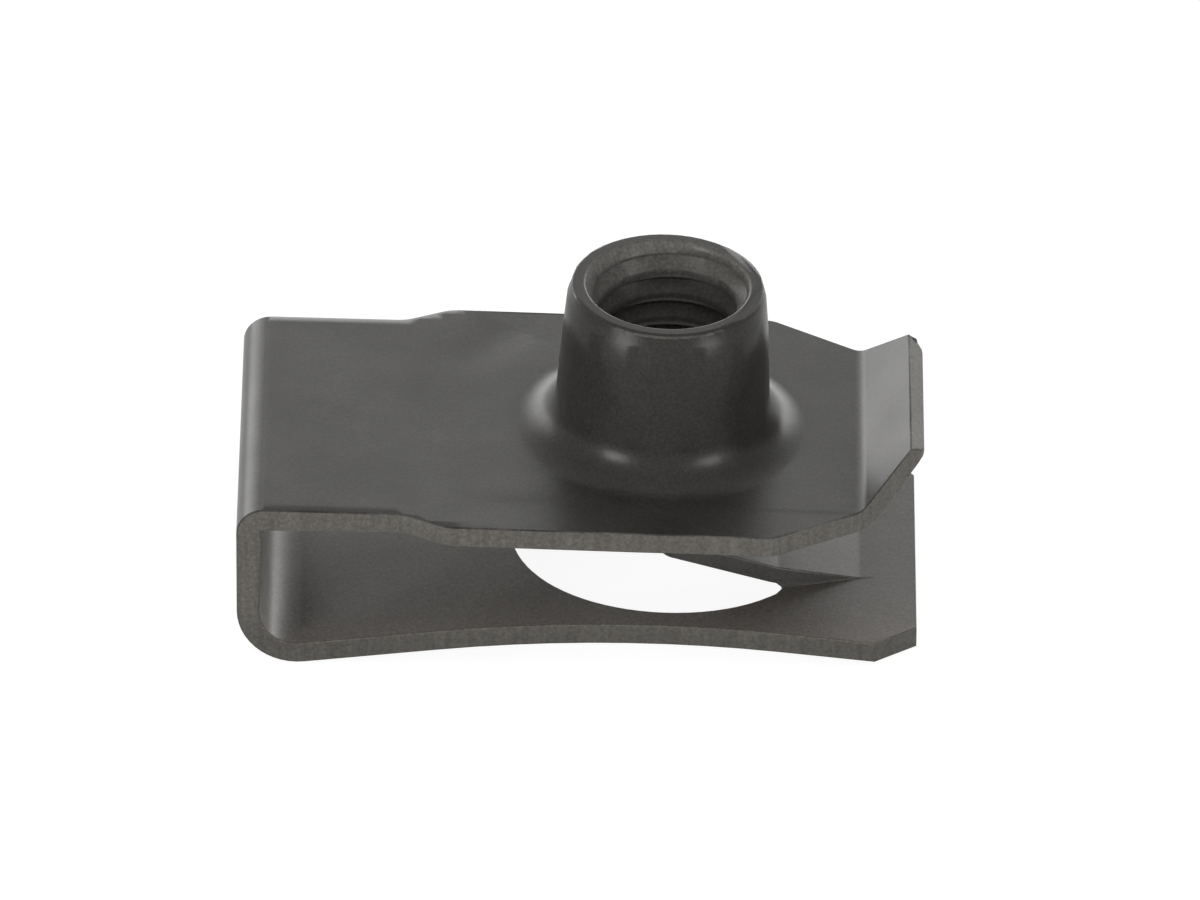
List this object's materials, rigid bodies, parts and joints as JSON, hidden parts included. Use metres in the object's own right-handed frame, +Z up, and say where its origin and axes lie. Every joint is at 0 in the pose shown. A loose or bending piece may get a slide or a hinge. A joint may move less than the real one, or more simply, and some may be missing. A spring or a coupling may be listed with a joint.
{
  "type": "u clip speed nut",
  "caption": "U-shaped spring clip nut folded from one steel strip, with a drawn and threaded barrel, a turned-up lead-in lip and a horseshoe retaining tongue.",
  "frame": {"origin": "on the surface that the clip rests on, under the middle of its overall length and width", "axes": "+X along the clip from the fold to the open end and lip, Y across the strip, +Z up through the legs to the barrel's rim; the thread's axis leans 1.8 degrees from +Z towards +X"},
  "size_m": [0.0244, 0.0144, 0.0121],
  "materials": {
    "black_steel": "satin black phosphate and oil on spring steel"
  },
  "bodies": {
    "root": {"clip_nut": "black_steel"}
  },
  "joints": []
}
